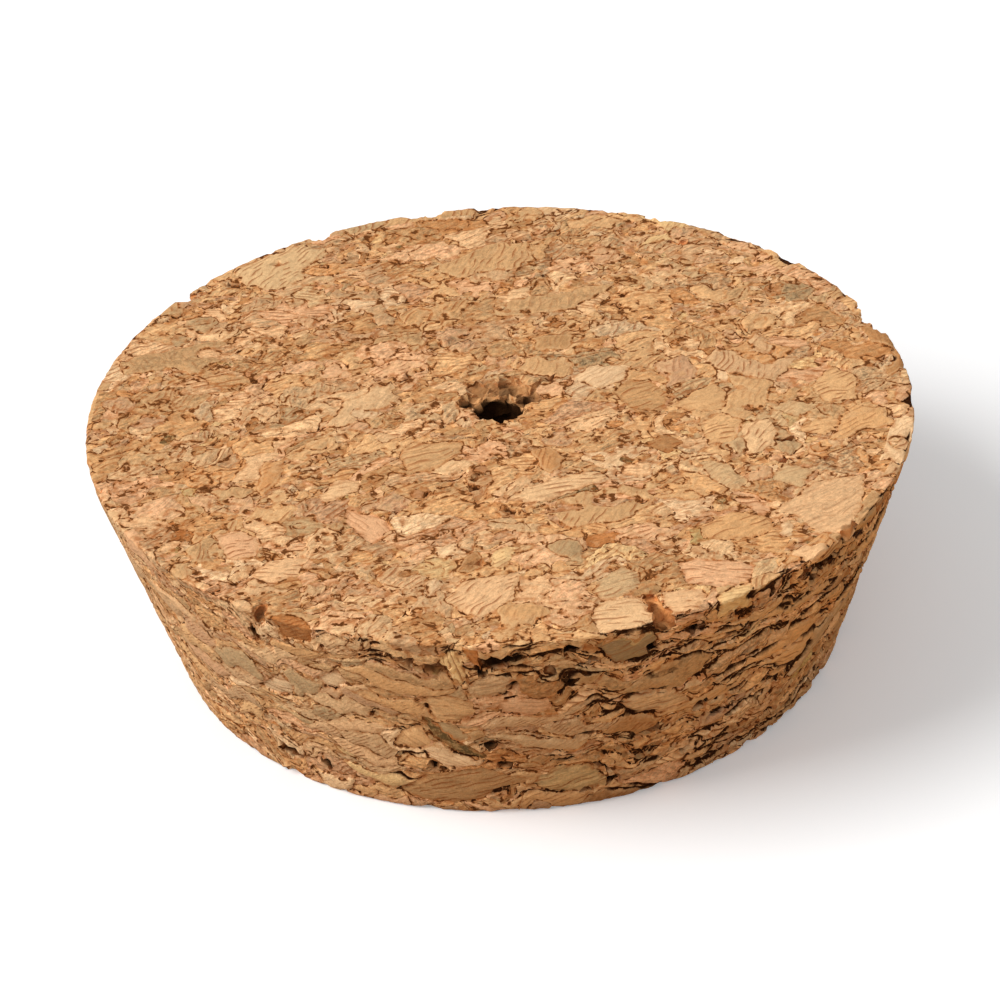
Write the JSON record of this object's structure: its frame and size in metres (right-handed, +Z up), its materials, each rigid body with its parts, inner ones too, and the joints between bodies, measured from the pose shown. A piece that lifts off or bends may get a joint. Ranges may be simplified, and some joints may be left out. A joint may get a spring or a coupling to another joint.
{
  "type": "cork stopper",
  "caption": "Tapered stopper of pressed cork granules, wide face up, with a small torn hole down the middle; plugs the round mouth of a jar or jug",
  "frame": {"origin": "centre of the small end's circle, on the plane that the stopper stands on", "axes": "+Z up along the stopper's axis towards the wide face, -Y towards the camera, +X to its right"},
  "size_m": [0.1008, 0.1008, 0.0305],
  "materials": {
    "cork": "matt agglomerated cork, tan granules from cream to red-brown with thin dark gaps between them"
  },
  "bodies": {
    "root": {"stopper": "cork"}
  },
  "joints": []
}
